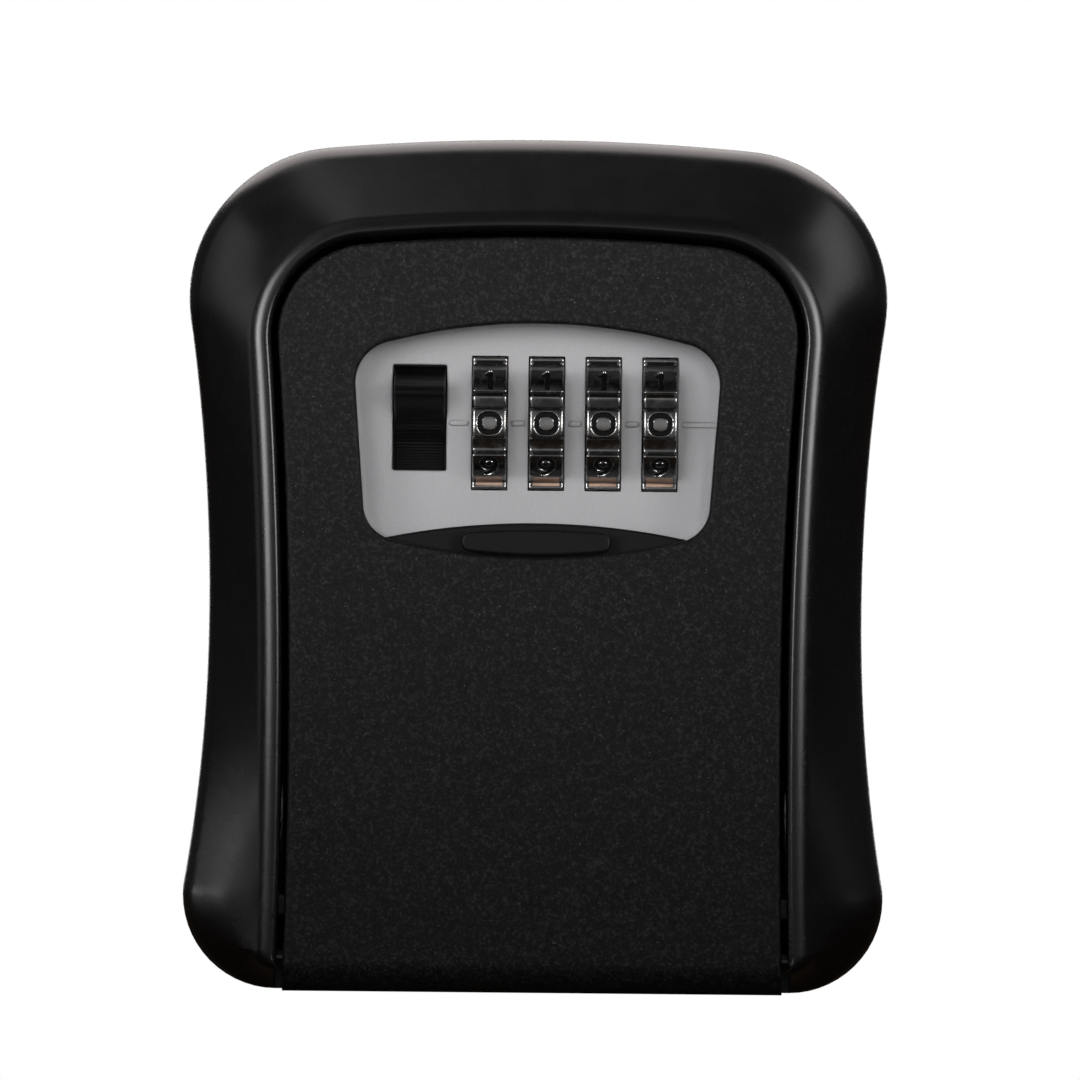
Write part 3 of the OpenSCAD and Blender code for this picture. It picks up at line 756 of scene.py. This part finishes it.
def panel():
    rim = [(window(1.7), 27.5), (window(1.7), 34.1), (window(1.45), 34.4), (window(0.5), 34.4)]
    ob = rings(rim, "dial_tray")
    # the dish, with a rounded foot to its wall
    r, wall = 0.9, 0.4
    levels = [(window(wall - r * (1 - cos(a))), PANEL_F + r * (1 - sin(a)))
              for a in (90, 75, 60, 45, 30, 15, 0)]
    ob = cut(ob, rings(levels + [(window(wall), 33.9), (window(wall), 36)]))
    # the plate behind it, chamffered at the back
    half_width, z0, z1, back, chamfer = 31.3, 57.7, 96.3, 27.2, 0.4
    full = arched(half_width, z0, z1, 6.2)
    small = arched(half_width - chamfer, z0 + chamfer, z1 - chamfer, 5.9)
    ob = add(ob, rings([(small, back), (full, back + chamfer), (full, 28.6)]))
    # pockets and slots for the wheels and the slider
    for x in WHEEL_X:
        ob = cut(ob, rod(WHEEL_R + 0.15, x - 2.46, x + 2.46, AXIS, "x", 192))
        ob = cut(ob, slot_cutter(x, 4.88, AXIS_Z - 8.95, AXIS_Z + 8.95, 0.2, 0.13))
    ob = cut(ob, slot_cutter(SLIDER_X, 7.3, 70.1, 84.4))
    # bars between and beside the wheels
    starts = [SLIDER_X + 3.95] + [x + 2.85 for x in WHEEL_X]
    ends = [x - 2.85 for x in WHEEL_X] + [25.6]
    for x0, x1 in zip(starts, ends):
        ob = add(ob, pill(x0, x1))
    ob = cut(ob, rod(3.75, WHEEL_X[0] + 1, WHEEL_X[3] + 5.6, AXIS, "x"))
    for s in (-1, 1):
        for z in PANEL_SCREW_Z:
            ob = cut(ob, rod(1.35, 20, 40, (s * PANEL_SCREW_X, 0, z), seg=32))
    return ob


def cover_outline(inset):
    """The shutter plate: straight sides and foot, arched top."""
    half_width, top_z, top_r, foot_z, n = 26.6, 63.2, 100, 30.3, 48
    w, r = half_width - inset, top_r - inset
    xs = [w * (1 - 2 * i / n) for i in range(n + 1)]
    top = [(x, top_z - top_r + math.sqrt(r**2 - x**2)) for x in xs]
    return np.array(top + [(-w, foot_z + inset), (w, foot_z + inset)])


def tab_outline(inset):
    """The shutter's finger tab, a lens with rounded ends."""
    half_width, end_r, n = 10.1, 1.32, 10
    end_x = half_width - end_r

    def top(x):
        return 62.4 - 110 + math.sqrt(110**2 - x * x)

    def foot(x):
        return 58.8 + 80 - math.sqrt(80**2 - x * x)

    xs = np.linspace(-end_x, end_x, 25)
    z_low, z_high, r = foot(end_x) + end_r, top(end_x) - end_r, end_r - inset
    p = [(x, foot(x) + inset) for x in xs]
    p += arc((end_x, z_low), r, r, -90, 0, n, 1)
    p += arc((end_x, z_high), r, r, 0, 90, n)[:-1]
    p += [(x, top(x) - inset) for x in xs[::-1]]
    p += arc((-end_x, z_high), r, r, 90, 180, n, 1)
    p += arc((-end_x, z_low), r, r, 180, 270, n)[:-1]
    return np.array(p)


def shutter():
    face, r = 36.1, 0.45
    levels = [(cover_outline(0.2), 34.7), (cover_outline(0), 34.9), (cover_outline(0), face - r)]
    ob = rings(levels + rolled(cover_outline, r, face, (20, 40, 60, 75, 90)), "shutter_cover")
    face, r = 38.35, 0.5
    levels = [(tab_outline(0), 35.2), (tab_outline(0), face - r)]
    return add(ob, rings(levels + rolled(tab_outline, r, face, (15, 30, 45, 60, 75, 90))))


def button():
    """The thumb slider: a tall rounded ridge that runs down into a low swell, grooved across."""
    low, high, base, back = 69.9, 84.2, 26.95, 26.2
    half_width, edge_r, pitch = 3.45, 0.34, 0.13

    def face(z):
        ridge = math.exp(-(((z - 80.7) / (2.55 if z < 80.7 else 2.2)) ** 2) * 0.95)
        swell = math.exp(-(((z - 76.9) / 2.35) ** 4))
        end = 1 - max(0.0, (z - 83.3) / (high - 83.3)) ** 2 * 0.55
        foot = min(1.0, (z - low) / 0.6 + 0.25)
        return base + (6.3 * ridge + 1.15 * swell) * end * foot

    # columns across the slider and how far each is rounded down
    turns = (0, 22, 45, 67, 90)
    xs = [-half_width + edge_r * (1 - cos(a)) for a in turns]
    sunk = [edge_r * (1 - sin(a)) for a in turns]
    xs, sunk = xs + [-x for x in reversed(xs)], sunk + list(reversed(sunk))
    rows, z, k = [(low, base - 0.35)], low + 0.12, 0
    while z < high - 0.06:
        groove = 0.06 if k % 3 == 0 and low + 0.5 < z < high - 0.8 else 0.0
        rows.append((z, face(z) - groove))
        z += pitch
        k += 1
    rows.append((high, face(high) - 0.5))

    n, m = len(xs), len(rows)
    under = m * n  # index of the first point of the back
    verts = [(SLIDER_X + x, f - d, z) for z, f in rows for x, d in zip(xs, sunk)]
    verts += [(SLIDER_X + x, back, z) for z, f in rows for x in xs]
    faces = []
    for row in range(m - 1):
        for i in range(row * n, row * n + n - 1):
            faces.append((i, i + 1, i + n + 1, i + n))
            faces.append((under + i, under + i + n, under + i + n + 1, under + i + 1))
        for i in (row * n, row * n + n - 1):
            faces.append((i, i + n, under + i + n, under + i))
    for row in (0, m - 1):
        for i in range(row * n, row * n + n - 1):
            faces.append((i, i + 1, under + i + 1, under + i))
    smooth = 38
    ob = make("open_slider", verts, faces, smooth)
    flange = box(SLIDER_X - 4.7, SLIDER_X + 4.0, 25.42, 26.8, 69.2, 89.4, 0.2)
    ob = add(ob, flange, smooth=smooth)
    peg = [(0, 22.25), (1.25, 22.25), (1.4, 22.4), (1.4, 25.6), (0, 25.6)]
    for z in (75.5, 83):
        ob = add(ob, lathe(peg, (PEG_X, 0, z), "f", 32), smooth=smooth)
    return ob


# ---------------------------------------------------------------- number wheels

# Strokes of each digit, as (across, up) points, about 1 either way from the middle.
ZERO_BEND = 2 / 2.9  # exponent that squares the zero's oval
ZERO = [
    (1.16 * math.copysign(abs(cos(a)) ** ZERO_BEND, cos(a)),
     1.0 * math.copysign(abs(sin(a)) ** ZERO_BEND, sin(a)))
    for a in [360 * i / 40 for i in range(41)]
]
SIX = [arc((0, -0.38), 0.84, 0.62, 0, 360, 30), arc((0.62, -0.3), 1.46, 1.3, 178, 98)]
DIGITS = [
    [ZERO],
    [[(-0.42, 0.62), (0.06, 1.0), (0.06, -1.0)]],
    [arc((0, 0.42), 0.82, 0.58, 165, -35) + [(-0.85, -1.0), (0.88, -1.0)]],
    [arc((-0.08, 0.5), 0.78, 0.5, 150, -90), arc((-0.08, -0.48), 0.88, 0.52, 90, -150)],
    [[(0.38, -1.0), (0.38, 1.0), (-0.88, -0.42), (0.9, -0.42)]],
    [[(0.78, 1.0), (-0.68, 1.0), (-0.76, 0.12)] + arc((-0.02, -0.33), 0.86, 0.66, 140, -150)],
    SIX,
    [[(-0.86, 1.0), (0.86, 1.0), (-0.2, -1.0)]],
    [arc((0, 0.5), 0.68, 0.5, 0, 360, 28), arc((0, -0.48), 0.86, 0.54, 0, 360, 28)],
    [[(-a, -b) for a, b in line] for line in SIX],
]
DIGIT_SCALE = (1.12, 1.24)

WHEEL_HALF = 2.3  # half the wheel's thickness
FIELD = 1.62  # half the side of the finely meshed field that carries a digit
LAND = 10.8  # half the angle of the land that carries a digit
# finger groove, a steep edge and then a shallow scallop: degrees past the land, depth
GROOVE = [
    (0.55, 0.34), (1.1, 0.60), (1.7, 0.75), (2.8, 0.84), (4.4, 0.90), (5.8, 0.93), (7.2, 0.94),
    (8.6, 0.93), (10.0, 0.90), (11.6, 0.84), (12.7, 0.75), (13.3, 0.60), (13.85, 0.34),
]
# side faces from the rim in to the bore: radius, x
RIM_X, WEB_X = WHEEL_HALF - 0.001, WHEEL_HALF - 0.22
LEFT_SIDE = [
    (8.55, -RIM_X), (8.35, -WEB_X), (3.75, -WEB_X), (3.55, -RIM_X), (3.3, -RIM_X),
    (3.25, -(WHEEL_HALF - 0.9)), (1.56, -(WHEEL_HALF - 0.9)),
]
RIGHT_SIDE = [
    (8.55, RIM_X), (8.35, WEB_X), (4.05, WEB_X), (3.85, RIM_X), (3.63, RIM_X), (3.60, 0.3),
    (1.56, 0.3),
]


def stroke_distance(u, v, digit):
    """Distance in millimetres from each point to the strokes of a digit."""
    best = np.full(u.shape, 9.0)
    for line in DIGITS[digit]:
        points = np.array(line) * DIGIT_SCALE
        for (ax, ay), (bx, by) in zip(points, points[1:]):
            dx, dy = bx - ax, by - ay
            t = np.clip(((u - ax) * dx + (v - ay) * dy) / max(dx * dx + dy * dy, 1e-9), 0, 1)
            best = np.minimum(best, np.hypot(u - ax - t * dx, v - ay - t * dy))
    return best


def wheel_mesh():
    """One wheel about its own centre: columns run along x, rows run round the rim."""
    edge_r = 0.3
    step = 0.075
    field = np.linspace(-FIELD, FIELD, int(2 * FIELD / step) + 1)
    # columns: x, and how far each is rounded down
    edge = [(WHEEL_HALF - edge_r + edge_r * sin(a), edge_r * (1 - cos(a)))
            for a in (90, 70, 50, 30, 0)]
    cols = [(-x, d) for x, d in edge] + [(-1.8, 0.0)] + [(x, 0.0) for x in field]
    cols += [(1.8, 0.0)] + list(reversed(edge))
    xs, sunk_x = np.array(cols).T
    # rows of one digit: angle from its middle, depth
    rows = [(-LAND, 0.10), (-LAND + 0.45, 0.02), (-LAND + 0.9, 0.0)]
    rows += [(math.degrees(v / WHEEL_R), 0.0) for v in field]
    rows += [(LAND - 0.9, 0.0), (LAND - 0.45, 0.02), (LAND, 0.10)]
    rows += [(LAND + t, d) for t, d in GROOVE]
    offset, sunk = np.array(rows).T
    angle = (36.0 * np.arange(10)[:, None] + offset).ravel()
    inked_rows = np.where((np.abs(offset) < LAND - 0.5) & (sunk == 0.0))[0]
    across, up = np.meshgrid(xs, np.radians(offset[inked_rows]) * WHEEL_R)
    nr, nc = len(angle), len(xs)
    depth = np.zeros((nr, nc))
    for digit in range(10):
        s = np.clip((0.37 - stroke_distance(across, up, digit)) / 0.16, 0, 1)
        depth[digit * len(rows) + inked_rows] = 0.24 * s * s * (3 - 2 * s)
    rad = WHEEL_R - np.tile(sunk, 10)[:, None] - sunk_x[None, :] - depth
    turn = np.radians(angle)[:, None]
    points = [np.broadcast_to(xs[None, :], rad.shape), rad * np.cos(turn), rad * np.sin(turn)]
    verts = [tuple(p) for p in np.stack(points, axis=2).reshape(-1, 3)]

    faces, finish = [], []
    plated, painted, painted_reflection = 0, 1, 2  # material slots
    for r in range(nr):
        q = (r + 1) % nr
        # painted warm reflection in copper on the groove after the 8, which faces down; painted shade
        # in black along the last edge of every groove
        worn = 299.1 < angle[r] % 360 < 312.6
        painted_shade = 12.2 < (angle[r] - LAND) % 36 < 13.5
        for c in range(nc - 1):
            faces.append((r * nc + c, r * nc + c + 1, q * nc + c + 1, q * nc + c))
            sunk_in = (depth[r, c] + depth[r, c + 1] + depth[q, c] + depth[q, c + 1]) / 4
            inside = 5 <= c < nc - 6
            if sunk_in > 0.10 or (painted_shade and inside):
                finish.append(painted)
            else:
                finish.append(painted_reflection if worn and inside else plated)

    def join(a, b):
        for r in range(nr):
            q = (r + 1) % nr
            faces.append((a[r], a[q], b[q], b[r]))
            finish.append(plated)

    bores = []
    for profile, col in ((LEFT_SIDE, 0), (RIGHT_SIDE, nc - 1)):
        ring = [r * nc + col for r in range(nr)]
        for radius, x in profile:
            inner = list(range(len(verts), len(verts) + nr))
            verts += [(x, radius * math.cos(t), radius * math.sin(t)) for t in turn[:, 0]]
            join(ring, inner)
            ring = inner
        bores.append(ring)
    join(*bores)

    mesh = bpy.data.meshes.new("number_wheel")
    mesh.from_pydata([(x / 1000, -f / 1000, z / 1000) for x, f, z in verts], [], faces)
    for key in ("dial", "paint", "copper"):
        mesh.materials.append(MATERIALS[key])
    mesh.polygons.foreach_set("material_index", finish)
    with editing(mesh) as bm:
        bmesh.ops.recalc_face_normals(bm, faces=bm.faces)
    shade(mesh, 50)
    return mesh


# ---------------------------------------------------------------- coil springs

# name, node, joint, base, axis, length, radius, wire radius, open turns,
# travel at the joint's limit, end that stays where it is (0 the base, 1 the far end)
SPRINGS = [
    ("return_spring", "button_spring", "open_slide",
     (PEG_X, 21.6, 59.02), "z", 13.93, 1.9, 0.22, 6, 4.0, 0),
    ("latch_coil_left", "latch_spring_left", "bolt_slide",
     (-24.2, 23.4, 80.05), "z", 6.88, 1.5, 0.17, 4, 3.6, 0),
    ("latch_coil_right", "latch_spring_right", "bolt_slide",
     (24.2, 23.4, 80.05), "z", 6.88, 1.5, 0.17, 4, 3.6, 0),
    ("code_coil", "reset_spring", "code_change",
     (20.58, AXIS_F, AXIS_Z), "x", 3.95, 2.0, 0.2, 2, 1.7, 1),
]


def coil(name, base, axis, length, r, wire, turns, per=36, sides=12):
    """A compression spring from base along axis, with its end turns closed down flat."""
    n = (turns + 2) * per
    closed = 2.08 * wire  # rise of an end turn
    pitch = (length - 2 * wire - 2 * closed) / turns
    verts, faces = [], []
    for i in range(n + 1):
        t = i / per
        rise = wire + closed * min(t, 1) + pitch * min(max(t - 1, 0), turns)
        rise += closed * max(t - 1 - turns, 0)
        for k in range(sides):
            b = 360 * k / sides
            out = r + wire * cos(b)
            q = (out * cos(360 * t), out * sin(360 * t), rise + wire * sin(b))
            d = q if axis == "z" else (q[2], q[0], q[1])
            verts.append((base[0] + d[0], base[1] + d[1], base[2] + d[2]))
    for i in range(n):
        a, b = i * sides, (i + 1) * sides
        faces += [(a + k, a + (k + 1) % sides, b + (k + 1) % sides, b + k) for k in range(sides)]
    faces.append(tuple(range(sides)))
    faces.append(tuple(n * sides + k for k in reversed(range(sides))))
    return make(name, verts, faces, 60)


# ---------------------------------------------------------------- build


def finish(ob, material):
    ob.data.materials.clear()
    ob.data.materials.append(material)


def enlist(ob, body, node):
    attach(ob, body)
    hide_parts(node)


for build, node, body, slot in (
    (housing, "housing", "root", "housing"),
    (door, "door_cover", "door", "door"),
    (panel, "dial_panel", "door", "panel"),
    (shutter, "shutter", "shutter", "shutter"),
    (button, "open_button", "slider", "button"),
):
    piece = build()
    normals = piece.modifiers.new("normals", "WEIGHTED_NORMAL")
    normals.keep_sharp = True
    normals.weight = 80
    finish(piece, MATERIALS[slot])
    enlist(piece, body, node)

wheel = wheel_mesh()
for number, x in enumerate(WHEEL_X, 1):
    mesh = wheel.copy()
    mesh.transform(Matrix.Translation(Vector(to_row([(x, AXIS_F, AXIS_Z)])[0])))
    enlist(link_new(f"number_wheel_{number}", mesh), f"dial_{number}", f"dial_wheel_{number}")

for name, node, joint, base, axis, length, r, wire, turns, travel, fixed_end in SPRINGS:
    spring = coil(name, base, axis, length, r, wire, turns)
    finish(spring, MATERIALS["spring"])
    enlist(spring, "door", node)
    stay = list(base)
    stay["xfz".index(axis)] += fixed_end * length
    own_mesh(spring)

# carried-over pieces take their finish here
SLOTS = {part["node"]: part["material_slot"] for part in frame["record"]["subparts"]}
for name, ob in frame["nodes"].items():
    material = MATERIALS.get(SLOTS.get(name, ""))
    if name in ("hinge_pins", "latch_bolt"):
        material = MATERIALS["pin"]
    if material is not None:
        finish(ob, material)

# ---------------------------------------------------------------- stage, in metres


def split_by_ray(tree, output_name, kind, seen, unseen):
    """Gives camera rays one plain light and all others another, each as (colour, strength)."""
    output = tree.nodes[output_name]
    for node in list(tree.nodes):
        if node != output:
            tree.nodes.remove(node)
    mixer = tree.nodes.new("ShaderNodeMixShader")
    path = tree.nodes.new("ShaderNodeLightPath")
    tree.links.new(path.outputs["Is Camera Ray"], mixer.inputs[0])
    for socket, (colour, strength) in ((1, unseen), (2, seen)):
        light = tree.nodes.new(kind)
        light.inputs["Color"].default_value = (*colour, 1)
        light.inputs["Strength"].default_value = strength
        tree.links.new(light.outputs[0], mixer.inputs[socket])
    tree.links.new(mixer.outputs[0], output.inputs["Surface"])


WHITE = (1, 1, 1)
floor_material = bpy.data.materials.new("pale_floor")
floor_material.use_nodes = True
split_by_ray(floor_material.node_tree, "Material Output", "ShaderNodeEmission",
             seen=(WHITE, 1.0), unseen=((1.0, 0.66, 0.46), 0.02))

floor_z = -HEIGHT / 2000 - 0.0004
floor_mesh = bpy.data.meshes.new("studio_floor")
floor_mesh.from_pydata(
    [(x, y, floor_z) for y in (-4.0, -1.0, 1.0, 4.0) for x in (-4, 4)],
    [],
    [(i, i + 1, i + 3, i + 2) for i in (0, 2, 4)],
)
floor_mesh.polygons.foreach_set("use_smooth", [True] * len(floor_mesh.polygons))
floor = link_new("studio_floor", floor_mesh)
floor_mesh.materials.append(floor_material)

world = bpy.data.worlds.new("studio")
bpy.context.scene.world = world
world.use_nodes = True
split_by_ray(world.node_tree, "World Output", "ShaderNodeBackground",
             seen=(WHITE, 1.0), unseen=((0.9, 0.95, 1.0), 0.06))

# ---------------------------------------------------------------- lights


def mid(z):
    return (0, -0.035, z)


def at(azimuth, elevation, distance, centre=mid(0)):
    """A place seen from the lock's face: azimuth from straight ahead towards +X."""
    level = distance * cos(elevation)
    return (centre[0] + level * sin(azimuth), centre[1] - level * cos(azimuth),
            centre[2] + distance * sin(elevation))


COOL, WARM, LOW_COOL = (0.98, 0.98, 1.0), (1.0, 0.985, 0.98), (0.97, 0.98, 1.0)
LEFT, RIGHT = at(-36, 11, 0.33), at(38, 12, 0.33)
LEFT_FOOT, RIGHT_FOOT = (-0.043, -0.031, -0.0465), (0.043, -0.031, -0.0425)
# name, place, target, (width, height), watts, colour, spread in degrees
LIGHTS = [
    ("left_box", LEFT, mid(0.075), (0.11, 0.15), 0.074, COOL, 56),
    ("right_box", RIGHT, mid(0.075), (0.11, 0.15), 0.070, WARM, 56),
    ("left_graze", LEFT, mid(0.075), (0.11, 0.15), 0.030, COOL, 56),
    ("right_graze", RIGHT, mid(0.075), (0.11, 0.15), 0.028, WARM, 56),
    ("left_key", at(-15, 11, 0.45), mid(0.02), (0.10, 0.12), 0.036, (0.99, 0.98, 1.0), 56),
    ("right_key", at(8, 11, 0.45), mid(0.02), (0.10, 0.12), 0.036, (1.0, 0.985, 0.99), 56),
    ("left_flank", at(-82, 19, 0.62), mid(0.03), (0.25, 0.48), 0.275, COOL, 180),
    ("right_flank", at(80, 30, 0.62), mid(0.0), (0.22, 0.40), 0.45, WARM, 180),
    ("overhead", (-0.22, -0.12, 0.80), mid(0.05), (0.50, 0.22), 0.25, (1.0, 0.98, 0.97), 180),
    ("upper_left", at(-30, 42, 0.60), mid(0.03), (0.30, 0.30), 0.09, WHITE, 180),
    ("front_fill", at(0, -4, 0.70), mid(0.0), (0.55, 0.34), 0.30, WHITE, 180),
    ("left_low_0", at(-100, 0, 0.22, LEFT_FOOT), LEFT_FOOT, (0.05, 0.026), 8.4e-5, LOW_COOL, 6.5),
    ("left_low_1", at(-86, 0, 0.22, LEFT_FOOT), LEFT_FOOT, (0.05, 0.026), 5.7e-5, LOW_COOL, 6.5),
    ("left_low_2", at(-70, 0, 0.22, LEFT_FOOT), LEFT_FOOT, (0.05, 0.026), 1.35e-5, LOW_COOL, 6.5),
    ("right_low", at(88, 0, 0.22, RIGHT_FOOT), RIGHT_FOOT, (0.07, 0.028), 1.6e-5, WHITE, 12),
    ("top_back", (0.0, 0.42, 0.62), (0, 0, 0.05), (1.1, 0.62), 5.5, (1.0, 0.91, 0.90), 180),
    ("rear_fill", (0.0, 0.90, 0.10), (0, 0, 0), (0.8, 0.6), 5.0, WHITE, 180),
]
for name, place, target, size, watts, colour, spread in LIGHTS:
    data = bpy.data.lights.new(name, "AREA")
    data.shape = "RECTANGLE"
    data.size, data.size_y = size
    data.energy = watts
    data.color = colour
    data.spread = math.radians(spread)
    light = link_new(name, data)
    light.location = place
    aim = Vector(target) - Vector(place)
    light.rotation_euler = aim.to_track_quat("-Z", "Y").to_euler()
    light.visible_camera = False

# The tray is lit more from the front than the rest, so the strips between the dials stay light.
for kind, state in (("box", "EXCLUDE"), ("graze", "INCLUDE"), ("key", "INCLUDE")):
    for name in (f"left_{kind}", f"right_{kind}"):
        group = bpy.data.collections.new(name + "_link")
        group.objects.link(bpy.data.objects["dial_tray"])
        group.collection_objects[0].light_linking.link_state = state
        bpy.data.objects[name].light_linking.receiver_collection = group

# ---------------------------------------------------------------- camera, in metres

DISTANCE = 1.30  # to the plane that fills the view, EYE_Z above the origin
FOCUS_Y, EYE_Z = -0.029, 0.018
VIEW_WIDTH = 0.1458474  # on that plane
VIEW_X, VIEW_Z = 0.000378123, 0.003376097  # middle of the view on it, before the roll

data = bpy.data.cameras.new("camera")
camera = link_new("camera", data)
camera.location = (0, -DISTANCE + FOCUS_Y, EYE_Z)
camera.rotation_euler = (math.radians(90), math.radians(-0.56), 0)
data.sensor_width = 36
data.lens = data.sensor_width * DISTANCE / VIEW_WIDTH
data.shift_x = VIEW_X / VIEW_WIDTH
data.shift_y = (VIEW_Z - EYE_Z) / VIEW_WIDTH
data.clip_end = 20
bpy.context.scene.camera = camera
view = bpy.context.scene.view_settings
view.view_transform = "Standard"
view.look = "None"
view.exposure = 0.0
view.gamma = 1.0
